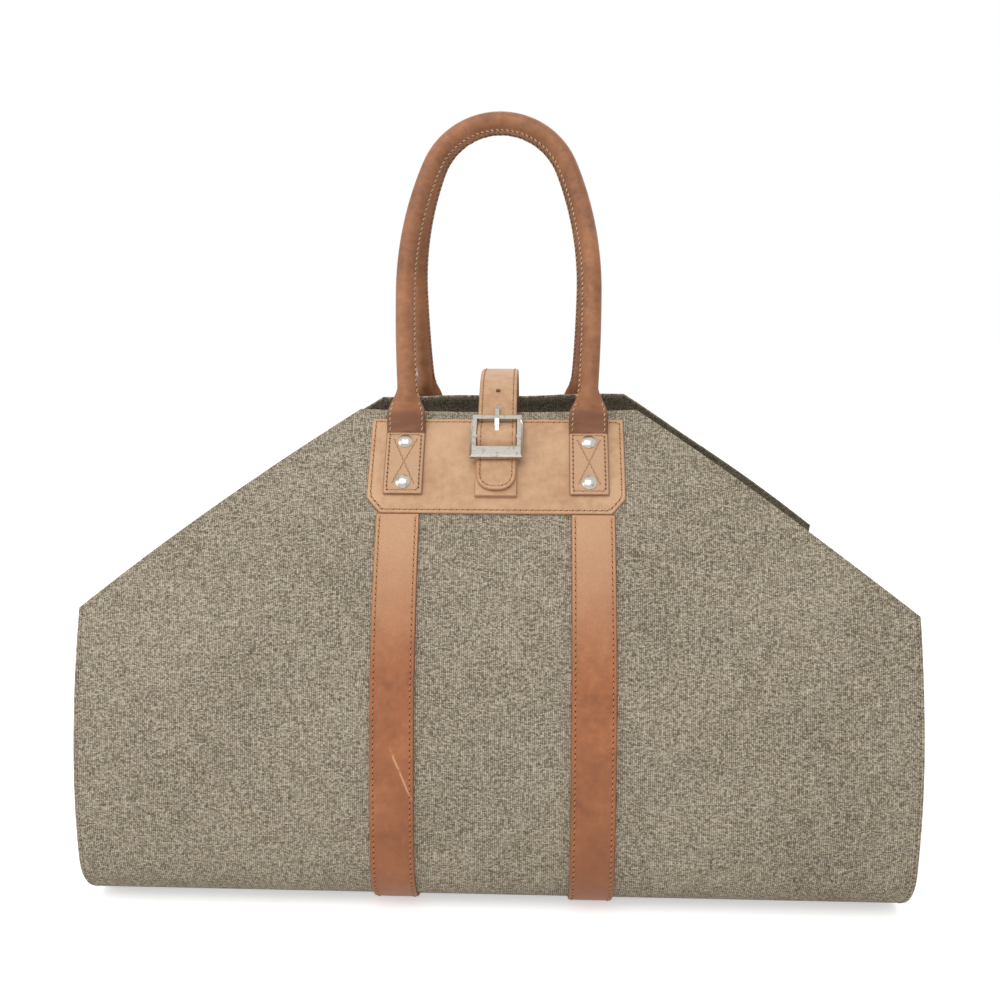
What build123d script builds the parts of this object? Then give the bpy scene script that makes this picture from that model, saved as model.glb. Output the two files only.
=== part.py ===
from build123d import *
import os
from math import asin, atan2, cos, degrees, pi, radians, sin, sqrt

# A tote of heavy canvas: one strip of cloth makes the front, the bottom and the back,
# and its ends are open. Leather patches, straps and rolled handles carry the load,
# and a buckled strap closes the mouth. Millimetres. +Z is up, -Y is the front, and the
# origin is at the middle of the footprint, on the surface that the bag stands on.

# --- the canvas strip ---
canvas_width = 556.0
canvas_thickness = 2.0
mouth_width = 196.0  # length of the mouth edge between its two sloping corners
slope_length = 148.0  # how far a sloping corner reaches down the cloth
half_depth = 160.0  # from the middle to the outside of the canvas, at its fullest
mouth_half_gap = 50.0
mouth_height = 333.0
fold_radius = 40.0  # outside of the canvas, where the bottom turns up
body_gap = 0.3  # between pieces that move apart

# --- the two long straps under the bag ---
strap_width = 29.5
strap_thickness = 2.4
strap_centre = 66.0

# --- the patches on the front and the back ---
patch_width = 176.0
patch_height = 72.0
patch_thickness = 2.2
patch_inset = 10.0  # from the mouth edge to the top of the patch
patch_corner_width = 9.5
patch_corner_height = 11.0

# --- the tabs that hold the handles ---
tab_width = 27.0
tab_length = 45.5
tab_thickness = 2.6
tab_centre = 63.5
tab_inset = 13.5  # from the top of the patch to the top of the tab
tab_corner_radius = 1.5

# --- the rivets, two in each tab ---
rivet_from_top = 6.5
rivet_from_bottom = 8.5
rivet_shank_radius = 2.0
rivet_fit = 0.05
rivet_cap_radius = 5.0
rivet_cap_rim = 0.5
rivet_cap_rise = 1.5
rivet_back_radius = 4.2
rivet_back_height = 1.2
rivet_back_seat = 0.03  # a flat head stands off the curved cloth by this much

# --- the handles: a cord in a rolled leather cover, flattened at its two ends ---
handle_height = 220.5  # from the fold line at the tabs to the middle of the grip
handle_diameter = 12.6
handle_leather = 2.0
cord_fit = 0.05
flare_length = 28.0
flare_thickness = 4.8
fold_room = 1.6  # between the end of a flare and its tab, for the bend
grip_radius = 52.5
grip_turn = 68.0  # half of the top arc, in degrees
shoulder_radius = 240.0
leg_radius = 1100.0
handle_gap = 0.8  # between the two grips where they lean on each other

# --- the closing strap ---
closing_width = 27.0
closing_thickness = 2.2
closing_rise = 24.0  # how high the strap arches over the mouth edge
closing_arch_radius = 60.0
closing_tip_drop = 40.5  # from the centre bar down to the strap's tip
closing_tail_lift = 0.5
closing_hole_radius = 2.0
closing_hole_pitch = 18.5
closing_spare_holes = 2
closing_slot_start = 1.4  # the prong's own hole is a slot, from here above the centre bar
closing_slot_length = 7.6
closing_base_length = 52.0
closing_base_top = 12.0  # from the mouth edge to the line where the strap is sewn down

# --- the buckle ---
buckle_drop = 26.5  # from the mouth edge to the centre bar
buckle_tilt = 7.0
frame_inner_width = 28.0
frame_outer_width = 36.0
frame_top_width = 34.4
frame_window_half = 11.8
frame_top_bar = 4.4
frame_bottom_bar = 8.1
frame_thickness = 3.6
frame_bevel = 1.3
frame_rise = 1.3  # back of the frame above the middle of the centre bar
centre_bar_radius = 1.8
bar_fit = 0.05
lug_half = 2.2
prong_width = 3.0
prong_wall = 1.25
prong_thickness = 2.3
prong_overhang = 8.0
prong_rest_gap = 0.1
prong_slot_fit = 0.8
chape_thickness = 1.6
chape_length = 44.0
chape_sewn_width = 28.5
chape_loop_fit = 0.1
chape_merge = 10.0  # where the two layers of the chape meet again

# --- what follows from them ---
hinge_height = strap_thickness + fold_radius
lean = 2 * atan2(half_depth - mouth_half_gap, mouth_height - hinge_height)
side_radius = (mouth_height - hinge_height) / sin(lean)
side_centre = half_depth - side_radius
side_length = side_radius * lean
fold_centre = half_depth - fold_radius
tab_top = patch_inset + tab_inset
tab_face = patch_thickness + tab_thickness
strap_clear = patch_thickness + body_gap


def on_side(down, out):
    """(y, z) of a point on the back wall: down the cloth from the mouth, and out from its face."""
    angle = lean - down / side_radius
    reach = side_radius + out
    return side_centre + reach * cos(angle), hinge_height + reach * sin(angle)


def side_plane(down, out, x=0.0):
    """A plane on the back wall. Its Y runs down the cloth and its Z points outwards."""
    angle = lean - down / side_radius
    y, z = on_side(down, out)
    return Plane(origin=(x, y, z), x_dir=(1, 0, 0), z_dir=(0, cos(angle), sin(angle)))


def front(solid):
    """The same piece on the front of the bag."""
    return mirror(solid, about=Plane.XZ)


def across(face, width, x=0.0):
    """A profile drawn in the YZ plane, drawn out along X about a middle."""
    return Pos(x, 0, 0) * extrude(face, amount=width / 2, both=True)


def ring_sector(centre, inner, outer, start, turn):
    """The profile of a bent sheet: part of a ring in the YZ plane, angles in degrees."""
    with BuildSketch(Plane.YZ) as sketch:
        with BuildLine():
            far = CenterArc(centre, outer, start, turn)
            near = CenterArc(centre, inner, start, turn)
            Line(far @ 0, near @ 0)
            Line(far @ 1, near @ 1)
        make_face()
    return sketch.sketch


def side_sheet(width, top, bottom, inner, outer, x=0.0):
    """A sheet that lies on the back wall between two distances down the cloth."""
    start = degrees(lean - bottom / side_radius)
    turn = degrees((bottom - top) / side_radius)
    face = ring_sector(
        (side_centre, hinge_height), side_radius + inner, side_radius + outer, start, turn
    )
    return across(face, width, x)


def bottom_sheet(width, inner, outer, x=0.0):
    """A sheet under the bag, from one fold line to the other, just short of both."""
    cut = degrees(body_gap / 2 / fold_radius)
    bend = ring_sector(
        (fold_centre, hinge_height), fold_radius + inner, fold_radius + outer, -90, 90 - cut
    )
    flat = Pos(0, 0, strap_thickness - (inner + outer) / 2) * Box(
        width, 2 * fold_centre, outer - inner
    )
    corner = across(bend, width)
    return Pos(x, 0, 0) * (flat + corner + front(corner))


def corner_cutter(half_top, half_bottom, top, bottom, out):
    """What is cut away beside a sloping edge, which is straight on the flat cloth."""
    steps = [i / 4 for i in range(5)]
    edge = [
        (
            half_top + (half_bottom - half_top) * t,
            on_side(top + (bottom - top) * t, out)[1],
        )
        for t in steps
    ]
    far = half_bottom + 20
    above = edge[0][1] + 20
    with BuildSketch(Plane.XZ) as sketch:
        with BuildLine():
            Spline(*edge)
            Polyline(edge[-1], (far, edge[-1][1]), (far, above), (half_top, above), edge[0])
        make_face()
    right = extrude(sketch.sketch, amount=-2 * half_depth)
    return right + mirror(right, about=Plane.YZ)


def rivet_places():
    """Distances down the cloth of the two rivets in a tab."""
    return tab_top + rivet_from_top, tab_top + tab_length - rivet_from_bottom


def rivet_holes():
    """The holes for all four rivets of one side."""
    return [
        side_plane(down, 0, x) * Cylinder(rivet_shank_radius + rivet_fit, 30)
        for down in rivet_places()
        for x in (-tab_centre, tab_centre)
    ]


def canvas_side():
    """The back wall of the canvas, from the fold line to the mouth."""
    sheet = side_sheet(canvas_width, 0, side_length - body_gap / 2, -canvas_thickness, 0)
    sheet -= corner_cutter(mouth_width / 2, canvas_width / 2, 0, slope_length, 0)
    return sheet - rivet_holes()


def patch():
    """The leather patch, with its two lower corners cut off."""
    bottom = patch_inset + patch_height
    sheet = side_sheet(patch_width, patch_inset, bottom, 0, patch_thickness)
    wide, narrow = patch_width / 2, patch_width / 2 - patch_corner_width
    high = on_side(bottom - patch_corner_height, patch_thickness)[1]
    low = on_side(bottom, patch_thickness)[1]
    with BuildSketch(Plane.XZ) as sketch:
        with BuildLine():
            Polyline(
                (wide, high), (narrow, low), (narrow, low - 20), (wide + 20, low - 20),
                (wide + 20, high), (wide, high),
            )
        make_face()
    corner = extrude(sketch.sketch, amount=-2 * half_depth)
    return sheet - corner - mirror(corner, about=Plane.YZ) - rivet_holes()


def long_strap_side(x):
    """A long strap on the back wall, from the patch down to the fold line."""
    return side_sheet(
        strap_width,
        patch_inset + patch_height,
        side_length - body_gap / 2,
        0,
        strap_thickness,
        x,
    )


def tab(x):
    """A handle tab on the patch, with its lower corners rounded."""
    sheet = side_sheet(
        tab_width, tab_top, tab_top + tab_length, patch_thickness, tab_face, x
    )
    low = sheet.edges().filter_by(lambda e: abs(e.length - tab_thickness) < 0.01)
    sheet = fillet(low.sort_by(Axis.Z)[:2], tab_corner_radius)
    return sheet - rivet_holes()


def rivets():
    """Domed rivets with their shanks, four on a side."""
    sphere = (rivet_cap_radius**2 + rivet_cap_rise**2) / (2 * rivet_cap_rise)
    dome = Pos(0, 0, rivet_cap_rim + rivet_cap_rise - sphere) * Sphere(sphere)
    height = rivet_cap_rim + rivet_cap_rise
    cap = dome & Pos(0, 0, height / 2) * Cylinder(rivet_cap_radius, height)
    length = canvas_thickness + tab_face
    shank = Pos(0, 0, -length / 2) * Cylinder(rivet_shank_radius, length)
    one = cap + shank
    return Compound(
        [
            side_plane(down, tab_face, x) * one
            for down in rivet_places()
            for x in (-tab_centre, tab_centre)
        ]
    )


def rivet_backs():
    """The flat heads of the rivets, inside the bag."""
    head = Cylinder(rivet_back_radius, rivet_back_height)
    head = chamfer(head.edges().sort_by(Axis.Z)[0], rivet_back_height / 3)
    return Compound(
        [
            side_plane(down, -canvas_thickness - rivet_back_seat - rivet_back_height / 2, x) * head
            for down in rivet_places()
            for x in (-tab_centre, tab_centre)
        ]
    )


# --- handles ---
fold_line_down = tab_top - flare_thickness / 2 - fold_room
fold_line_out = patch_thickness + body_gap + flare_thickness / 2
fold_line = on_side(fold_line_down, fold_line_out)
handle_lean = asin((fold_line[0] - handle_diameter / 2 - handle_gap / 2) / handle_height)
handle_plane = Plane(
    origin=(0, *fold_line),
    x_dir=(1, 0, 0),
    z_dir=(0, -cos(handle_lean), -sin(handle_lean)),
)


def handle_line():
    """The middle line of a handle's right half, from the top of the grip down to the flare."""
    turn = radians(grip_turn)
    grip_centre = handle_height - grip_radius
    shoulder_reach = shoulder_radius - grip_radius
    shoulder_x = -shoulder_reach * sin(turn)
    shoulder_y = grip_centre - shoulder_reach * cos(turn)
    widest = shoulder_x + shoulder_radius
    swing = degrees(asin((shoulder_y - flare_length) / leg_radius))
    grip = CenterArc((0, grip_centre), grip_radius, 90 - grip_turn, grip_turn)
    shoulder = CenterArc((shoulder_x, shoulder_y), shoulder_radius, 0, 90 - grip_turn)
    leg = CenterArc((widest - leg_radius, shoulder_y), leg_radius, -swing, swing)
    return Wire([leg, shoulder, grip])


def handle_rod(radius):
    """A round rod along the whole arch of a handle, in its own plane."""
    line = handle_line()
    section = Plane(origin=line @ 0, z_dir=line % 0) * Circle(radius)
    half = sweep(section, path=line)
    return half + mirror(half, about=Plane.YZ)


def flare():
    """The right end of a handle: the round cover flattens to the width of its tab."""
    line = handle_line()
    foot = Plane(origin=(tab_centre, 0, 0), x_dir=(1, 0, 0), z_dir=(0, 1, 0))
    neck = Plane(origin=line @ 0, x_dir=(line % 0).cross(Vector(0, 0, 1)), z_dir=line % 0)
    flat = Rectangle(tab_width, flare_thickness)
    waist = foot.offset(flare_length / 2) * Ellipse(tab_width * 0.37, handle_diameter * 0.31)
    body = loft([foot * flat, waist, neck * Circle(handle_diameter / 2)])
    end = foot.offset(-flare_thickness / 2) * extrude(flat, amount=flare_thickness / 2)
    long_edges = end.edges().filter_by(Axis.X).sort_by(Axis.Y)[:2]
    return body + fillet(long_edges, flare_thickness / 2 - 0.05)


def handle_cover():
    """The leather of a handle: a tube along the arch with a flare at each end."""
    cord = handle_diameter / 2 - handle_leather + cord_fit
    end = flare()
    tube = handle_rod(handle_diameter / 2) - handle_rod(cord)
    return handle_plane * (tube + end + mirror(end, about=Plane.YZ))


def handle_cord():
    """The cord that fills a handle's cover."""
    return handle_plane * handle_rod(handle_diameter / 2 - handle_leather)


# --- buckle ---
bar_out = patch_thickness + chape_thickness + chape_loop_fit + centre_bar_radius
buckle_plane = side_plane(buckle_drop, bar_out)
frame_plane = buckle_plane.rotated((buckle_tilt, 0, 0))
frame_face = frame_rise + frame_thickness


def flat_profile(points):
    """A closed outline given as (down the cloth, out from it) about the centre bar."""
    with BuildSketch(Plane.YZ) as sketch:
        with BuildLine():
            Polyline(*points, close=True)
        make_face()
    return sketch.sketch


def buckle_frame():
    """A cast frame with bevelled rims and a centre bar set behind it."""
    top = -frame_window_half - frame_top_bar
    bottom = frame_window_half + frame_bottom_bar
    outer, upper = frame_outer_width / 2, frame_top_width / 2
    shoulder = -frame_window_half + 3.0
    with BuildSketch() as sketch:
        with BuildLine():
            Polyline(
                (upper, top), (upper, shoulder - 2.5), (outer, shoulder), (outer, bottom),
                (-outer, bottom), (-outer, shoulder), (-upper, shoulder - 2.5),
                (-upper, top), close=True,
            )
        make_face()
        Rectangle(frame_inner_width, 2 * frame_window_half, mode=Mode.SUBTRACT)
    rim = Pos(0, 0, frame_rise) * extrude(sketch.sketch, amount=frame_thickness)
    face = rim.faces().sort_by(Axis.Z)[-1]
    rim = chamfer(face.outer_wire().edges(), frame_bevel)
    bar_length = frame_outer_width - 1.0
    bar = Rot(0, 90, 0) * Cylinder(centre_bar_radius, bar_length)
    lug_width = (bar_length - frame_inner_width) / 2
    lug_height = centre_bar_radius + frame_rise
    for side in (-1, 1):
        rim += Pos(
            side * (frame_inner_width + lug_width) / 2,
            0,
            (frame_rise - centre_bar_radius) / 2 + 0.1,
        ) * Box(lug_width, 2 * lug_half, lug_height + 0.2)
    return frame_plane * (rim + bar)


def buckle_prong():
    """The prong: an eye on the centre bar, and a tongue that rests on the top bar."""
    eye_in = centre_bar_radius + bar_fit
    eye_out = eye_in + prong_wall
    rest = frame_face + prong_rest_gap
    tip = -frame_window_half - frame_top_bar - prong_overhang
    profile = flat_profile(
        [
            (-0.5, eye_out - 0.2),
            (-eye_out + 0.2, 0.4),
            (-frame_window_half + 1.0, rest),
            (tip + 3.0, rest),
            (tip, rest - 0.8),
            (tip, rest + 0.5),
            (tip + 5.0, rest + prong_thickness - 0.5),
            (-frame_window_half + 1.5, rest + prong_thickness),
        ]
    )
    tongue = across(profile, prong_width)
    eye = Rot(0, 90, 0) * (Cylinder(eye_out, prong_width))
    bore = Rot(0, 90, 0) * Cylinder(eye_in, 2 * prong_width)
    return frame_plane * (tongue + eye - bore)


def chape():
    """Leather folded round the centre bar, both layers sewn down below it."""
    inner = centre_bar_radius + chape_loop_fit
    outer = inner + chape_thickness
    low = -outer + 2 * chape_thickness
    body = flat_profile([(0, -outer), (0, outer), (chape_merge, low), (chape_merge, -outer)])
    gap = flat_profile([(0, inner), (chape_merge - 2.0, -inner), (0, -inner)])
    loop = Rot(0, 90, 0) * Cylinder(outer, closing_width)
    hole = Rot(0, 90, 0) * Cylinder(inner, 2 * closing_width)
    slot = Box(prong_width + 2 * prong_slot_fit, 3 * outer, 4 * outer)
    slot = Pos(0, 1.5 * outer - outer - 1.0, 0) * slot
    piece = across(body, closing_width) + loop - hole - across(gap, 2 * closing_width) - slot
    wall = side_sheet(canvas_width, 0, side_length, -20, patch_thickness)
    sewn = side_sheet(
        chape_sewn_width,
        buckle_drop + chape_merge - 0.5,
        buckle_drop + chape_length,
        patch_thickness,
        patch_thickness + 2 * chape_thickness,
    )
    return buckle_plane * piece - wall + sewn


# --- closing strap ---
def buckle_point(down, out):
    """(y, z) on the front of the bag of a point given about the centre bar."""
    place = buckle_plane.from_local_coords(Vector(0, down, out))
    return -place.Y, place.Z


def side_point(down, out):
    """(y, z) on the front of the bag: down from the centre bar along the cloth, out from it."""
    y, z = on_side(buckle_drop + down, out)
    return -y, z


def closing_line():
    """The middle line of the free strap, from its sewn end at the back to its tip."""
    half = closing_thickness / 2
    lie = strap_clear + half
    flat = lie - bar_out
    over = centre_bar_radius + chape_loop_fit + chape_thickness + body_gap + half
    under = strap_clear + 2 * chape_thickness + half
    crown = mouth_height + closing_rise - half
    start = on_side(closing_base_top - body_gap / 2, lie)
    edge = on_side(0, lie)
    rise = (crown - edge[1]) * (edge[0] - start[0]) / (edge[1] - start[1])
    turn_y = edge[0] + rise
    points = [
        start,
        (turn_y, crown),
        (-turn_y, crown),
        buckle_point(-frame_window_half + 0.3, flat),
        buckle_point(-3.0, over),
        buckle_point(4.0, over),
        side_point(frame_window_half - 1.5, under),
        side_point(closing_tip_drop, under + closing_tail_lift),
    ]
    bends = [closing_arch_radius, closing_arch_radius, 3.0, 3.5, 4.0, 8.0]
    with BuildLine(Plane.YZ) as line:
        FilletPolyline(*points, radius=bends)
    return line.wire()


def closing_strap():
    """The free strap, with the hole that the prong uses and one more."""
    line = closing_line()
    section = Plane(origin=line @ 0, x_dir=(1, 0, 0), z_dir=line % 0)
    strap = sweep(section * Rectangle(closing_width, closing_thickness), path=line)
    ends = strap.edges().filter_by(lambda e: abs(e.length - closing_thickness) < 0.01)
    tip = ends.sort_by(Axis.Z)[:2]
    strap = fillet(tip, closing_width * 0.42)
    slot_middle = -closing_slot_start - closing_slot_length / 2
    slot = Box(2 * closing_hole_radius, closing_slot_length, 12)
    strap -= front(buckle_plane * Pos(0, slot_middle, 4.0) * slot)
    for number in range(1, closing_spare_holes + 1):
        strap -= spare_hole(line, slot_middle - number * closing_hole_pitch)
    return strap


def spare_hole(line, down):
    """A round hole through the strap; a negative distance is above the centre bar."""
    travel = line.length - closing_tip_drop + down
    place = line.position_at(travel, position_mode=PositionMode.LENGTH)
    along = line.tangent_at(travel, position_mode=PositionMode.LENGTH)
    normal = along.cross(Vector(1, 0, 0))
    return Plane(origin=place, z_dir=normal) * Cylinder(closing_hole_radius, 8)


def closing_strap_base():
    """The end of the closing strap that is sewn to the back patch."""
    top = closing_base_top + body_gap / 2
    outer = patch_thickness + closing_thickness
    return side_sheet(closing_width, top, top + closing_base_length, patch_thickness, outer)


def both_sides(name, solid, pieces):
    """The same piece at the front and at the back."""
    pieces[f"back_{name}"] = solid
    pieces[f"front_{name}"] = front(solid)


def all_pieces():
    pieces = {"bottom_panel": bottom_sheet(canvas_width, -canvas_thickness, 0)}
    both_sides("panel", canvas_side(), pieces)
    both_sides("patch", patch(), pieces)
    both_sides("rivets", rivets(), pieces)
    both_sides("rivet_backs", rivet_backs(), pieces)
    both_sides("handle_cover", handle_cover(), pieces)
    both_sides("handle_cord", handle_cord(), pieces)
    for name, side in (("left", -1), ("right", 1)):
        both_sides(f"{name}_strap", long_strap_side(side * strap_centre), pieces)
        both_sides(f"{name}_tab", tab(side * tab_centre), pieces)
        pieces[f"bottom_{name}_strap"] = bottom_sheet(
            strap_width, 0, strap_thickness, side * strap_centre
        )
    pieces["closing_strap"] = closing_strap()
    pieces["closing_strap_base"] = closing_strap_base()
    pieces["chape"] = front(chape())
    pieces["buckle_frame"] = front(buckle_frame())
    pieces["buckle_prong"] = front(buckle_prong())
    return pieces


os.makedirs("parts", exist_ok=True)
for node, solid in all_pieces().items():
    export_step(solid, f"parts/{node}.step")
print("fold line of the handles (y, z)", [round(v, 2) for v in fold_line])
print("centre bar (y, z)", [round(v, 2) for v in buckle_point(0, 0)])
print("strap fold (y, z)", [round(v, 2) for v in on_side(closing_base_top, strap_clear + closing_thickness)])
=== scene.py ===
# %% [markdown]
# # A canvas tote with leather handles
# The bag is one long strip of heavy canvas, folded into a U, with leather sewn and riveted
# to it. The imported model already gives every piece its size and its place. This script
# dresses it: cloth with a weave, leather with grain, thread, and cast nickel.

# %% Load the frame
import math

import bmesh
import bpy
import numpy as np
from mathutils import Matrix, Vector


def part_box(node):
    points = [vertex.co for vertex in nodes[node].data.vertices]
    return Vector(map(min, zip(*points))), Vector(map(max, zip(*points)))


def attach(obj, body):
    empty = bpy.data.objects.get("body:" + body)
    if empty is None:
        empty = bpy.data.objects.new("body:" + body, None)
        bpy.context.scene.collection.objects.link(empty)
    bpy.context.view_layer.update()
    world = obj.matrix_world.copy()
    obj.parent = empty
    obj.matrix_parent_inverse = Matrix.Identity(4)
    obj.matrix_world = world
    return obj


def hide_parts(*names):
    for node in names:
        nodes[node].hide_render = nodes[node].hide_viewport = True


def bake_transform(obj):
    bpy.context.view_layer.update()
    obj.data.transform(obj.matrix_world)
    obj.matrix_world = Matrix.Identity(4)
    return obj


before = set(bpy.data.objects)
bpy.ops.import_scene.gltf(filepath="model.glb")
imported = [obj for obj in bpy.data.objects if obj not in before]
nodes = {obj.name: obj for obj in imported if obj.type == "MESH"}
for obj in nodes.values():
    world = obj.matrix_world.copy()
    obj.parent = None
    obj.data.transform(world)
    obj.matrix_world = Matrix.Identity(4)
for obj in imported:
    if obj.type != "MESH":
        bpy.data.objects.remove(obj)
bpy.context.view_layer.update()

mm = 0.001

# %% [markdown]
# ## The camera
# The bag stands a little below eye level, seen almost straight on from its front. A short
# telephoto from close by keeps the slight spread of the sides that a real picture has.

# %% Camera
camera_data = bpy.data.cameras.new("camera")
camera_data.lens = 34.2
camera_data.sensor_width = 36
camera = bpy.data.objects.new("camera", camera_data)
camera.location = (0.025, -0.724, 0.410)
camera.rotation_euler = (math.radians(78), 0, math.radians(2))
bpy.context.scene.collection.objects.link(camera)
bpy.context.scene.camera = camera
print("camera", tuple(camera.location))

# %% [markdown]
# ## Light
# A pale world lights the bag from everywhere, and two large soft lamps give it form: one
# high in front, which brings up the leaning top of the bag, and a weaker one from the left.
# Lamps this large leave no hard shadow, as in a product studio.


# %% Colours and lamps
def rgb(red, green, blue):
    """A colour given as it looks on a screen, from 0 to 255, turned into linear light."""
    def linear(value):
        value = value / 255
        if value <= 0.04045:
            return value / 12.92
        return ((value + 0.055) / 1.055) ** 2.4

    return (linear(red), linear(green), linear(blue), 1.0)


def soft_lamp(name, place, aim, size, watts):
    data = bpy.data.lights.new(name, "AREA")
    data.shape = "RECTANGLE"
    data.size, data.size_y = size
    data.energy = watts
    lamp = bpy.data.objects.new(name, data)
    lamp.location = place
    look = Vector(aim) - Vector(place)
    lamp.rotation_euler = look.to_track_quat("-Z", "Y").to_euler()
    bpy.context.scene.collection.objects.link(lamp)
    return lamp


soft_lamp("key_lamp", (-0.3, -1.3, 1.9), (0, 0, 0.25), (1.6, 1.2), 22)
soft_lamp("side_lamp", (-1.7, -0.9, 0.9), (0, 0, 0.25), (1.0, 1.4), 7)
soft_lamp("back_lamp", (0.6, 1.6, 1.6), (0, 0, 0.3), (1.6, 1.2), 12)
print("lamps", len(bpy.data.lights))

# %% [markdown]
# ## A small language for materials
# A Blender material is a graph of nodes. Written as sums in Python, the same graph reads
# like the idea behind it. The class below wraps one socket, so that `grain * 0.5 + 0.2`
# adds the Math nodes by itself. Colours and vectors go through Mix and Vector Math nodes,
# because a Math node would turn a colour grey.


# %% The socket wrapper and the finish
class Value:
    """One output socket of a material, which can be used in sums."""

    def __init__(self, finish, socket):
        self.finish = finish
        self.socket = socket

    def is_vector(self):
        return self.socket.type in ("VECTOR", "RGBA")

    def sum(self, operation, first, second):
        if self.is_vector():
            kind = "ShaderNodeVectorMath"
            if operation == "MULTIPLY" and isinstance(second, (int, float)):
                return self.finish.node(kind, {"operation": "SCALE"}, {0: first, 3: second})
        else:
            kind = "ShaderNodeMath"
        return self.finish.node(kind, {"operation": operation}, {0: first, 1: second})

    def __add__(self, other):
        return self.sum("ADD", self, other)

    def __radd__(self, other):
        return self.sum("ADD", other, self)

    def __sub__(self, other):
        return self.sum("SUBTRACT", self, other)

    def __rsub__(self, other):
        return self.sum("SUBTRACT", other, self)

    def __mul__(self, other):
        return self.sum("MULTIPLY", self, other)


class Finish:
    """A material with one Principled shader."""

    def __init__(self, name, **constants):
        self.material = bpy.data.materials.new(name)
        self.material.use_nodes = True
        self.nodes = self.material.node_tree.nodes
        self.links = self.material.node_tree.links
        self.shader = self.nodes["Principled BSDF"]
        for socket, value in constants.items():
            title = socket.replace("_", " ").title().replace("Ior", "IOR")
            self.shader.inputs[title].default_value = value

    def node(self, kind, settings=None, sockets=None, output=0):
        """Any node: its settings are set first, then its sockets get values or links."""
        node = self.nodes.new(kind)
        for key, value in (settings or {}).items():
            if key == "stops":
                ramp = node.color_ramp.elements
                while len(ramp) < len(value):
                    ramp.new(0.5)
                for element, (position, colour) in zip(ramp, value):
                    element.position = position
                    element.color = colour
            else:
                setattr(node, key, value)
        for key, value in (sockets or {}).items():
            if isinstance(value, Value):
                self.links.new(value.socket, node.inputs[key])
            else:
                node.inputs[key].default_value = value
        return Value(self, node.outputs[output])

    def named(self, attribute, output="Vector"):
        """A value that the mesh carries at its points."""
        return self.node("ShaderNodeAttribute", {"attribute_name": attribute}, output=output)

    def noise(self, place, scale, detail=2.0, rough=0.5):
        sockets = {"Vector": place, "Scale": scale, "Detail": detail, "Roughness": rough}
        return self.node("ShaderNodeTexNoise", None, sockets)

    def blend(self, mask, first, second):
        """Two colours mixed by a mask."""
        settings = {"data_type": "RGBA"}
        return self.node("ShaderNodeMix", settings, {0: mask, 6: first, 7: second}, 2)

    def between(self, value, low, high):
        """A smooth step: 0 below low, 1 above high."""
        settings = {"interpolation_type": "SMOOTHSTEP"}
        return self.node("ShaderNodeMapRange", settings, {0: value, 1: low, 2: high})

    def stretch(self, vector, x, y, z=1.0):
        settings = {"operation": "MULTIPLY"}
        return self.node("ShaderNodeVectorMath", settings, {0: vector, 1: (x, y, z)})

    def relief(self, height, depth):
        """A bump map of a height from 0 to 1 that is so many metres deep."""
        sockets = {"Strength": 1.0, "Distance": depth, "Height": height}
        return self.node("ShaderNodeBump", None, sockets)

    def paint(self, socket, value):
        self.links.new(value.socket, self.shader.inputs[socket])


print("materials are made by", Finish.__name__)

# %% [markdown]
# ## Canvas
# The cloth is a plain weave of thick, uneven yarn: pale and dark strands cross, and the
# eye sees a speckle. The mesh carries its flat cloth coordinates, so warp and weft run
# true over every curve. A cell of the weave is either a warp or a weft strand on top,
# like a chessboard, and each strand gets its own shade.


# %% Canvas finish
warp_yarns = 770.0  # to the metre
weft_yarns = 1250.0


def canvas_finish(name, pale, middle, dark):
    cloth = Finish(name, roughness=0.9, specular_ior_level=0.25)
    flat = cloth.named("flat")
    wander = cloth.noise(flat, 90.0, 2.0)
    across = cloth.node("ShaderNodeSeparateXYZ", None, {0: flat}, 0)
    down = cloth.node("ShaderNodeSeparateXYZ", None, {0: flat}, 1)
    warp = across * warp_yarns + wander * 1.6
    weft = down * weft_yarns + wander * 1.9
    warp_number = cloth.node("ShaderNodeMath", {"operation": "FLOOR"}, {0: warp})
    weft_number = cloth.node("ShaderNodeMath", {"operation": "FLOOR"}, {0: weft})
    warp_part = cloth.node("ShaderNodeMath", {"operation": "FRACT"}, {0: warp})
    weft_part = cloth.node("ShaderNodeMath", {"operation": "FRACT"}, {0: weft})
    parity = cloth.node(
        "ShaderNodeMath", {"operation": "PINGPONG"}, {0: warp_number + weft_number, 1: 1.0}
    )
    warp_round = cloth.node("ShaderNodeMath", {"operation": "SINE"}, {0: warp_part * math.pi})
    weft_round = cloth.node("ShaderNodeMath", {"operation": "SINE"}, {0: weft_part * math.pi})
    over_warp = warp_round * (weft_round * 0.5 + 0.5)
    over_weft = weft_round * (warp_round * 0.5 + 0.5)
    height = over_warp * parity + over_weft * (1.0 - parity)
    cell = cloth.node("ShaderNodeCombineXYZ", None, {0: warp_number, 1: weft_number})
    chance = cloth.node("ShaderNodeTexWhiteNoise", {"noise_dimensions": "2D"}, {"Vector": cell})
    slub_down = cloth.noise(cloth.stretch(flat, 900.0, 60.0), 1.0, 1.0)
    slub_across = cloth.noise(cloth.stretch(flat, 70.0, 1100.0), 1.0, 1.0)
    heather = cloth.noise(flat, 420.0, 3.0, 0.7)
    cloud = cloth.noise(flat, 11.0, 3.0)
    shade = chance * 0.50 + heather * 0.70 + slub_down * 0.30 + slub_across * 0.30
    # Adding the weave's height darkens its low parts between the strands: painted shade in the
    # hollows of the weave. The other terms are the yarns' own tones.
    shade = shade + height * 0.62 + cloud * 0.22 - 0.92
    stops = [(0.0, dark), (0.45, middle), (1.0, pale)]
    colour = cloth.node("ShaderNodeValToRGB", {"stops": stops}, {0: shade})
    cloth.paint("Base Color", colour)
    cloth.paint("Normal", cloth.relief(height + heather * 0.6, 0.35 * mm))
    return cloth.material


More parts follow.
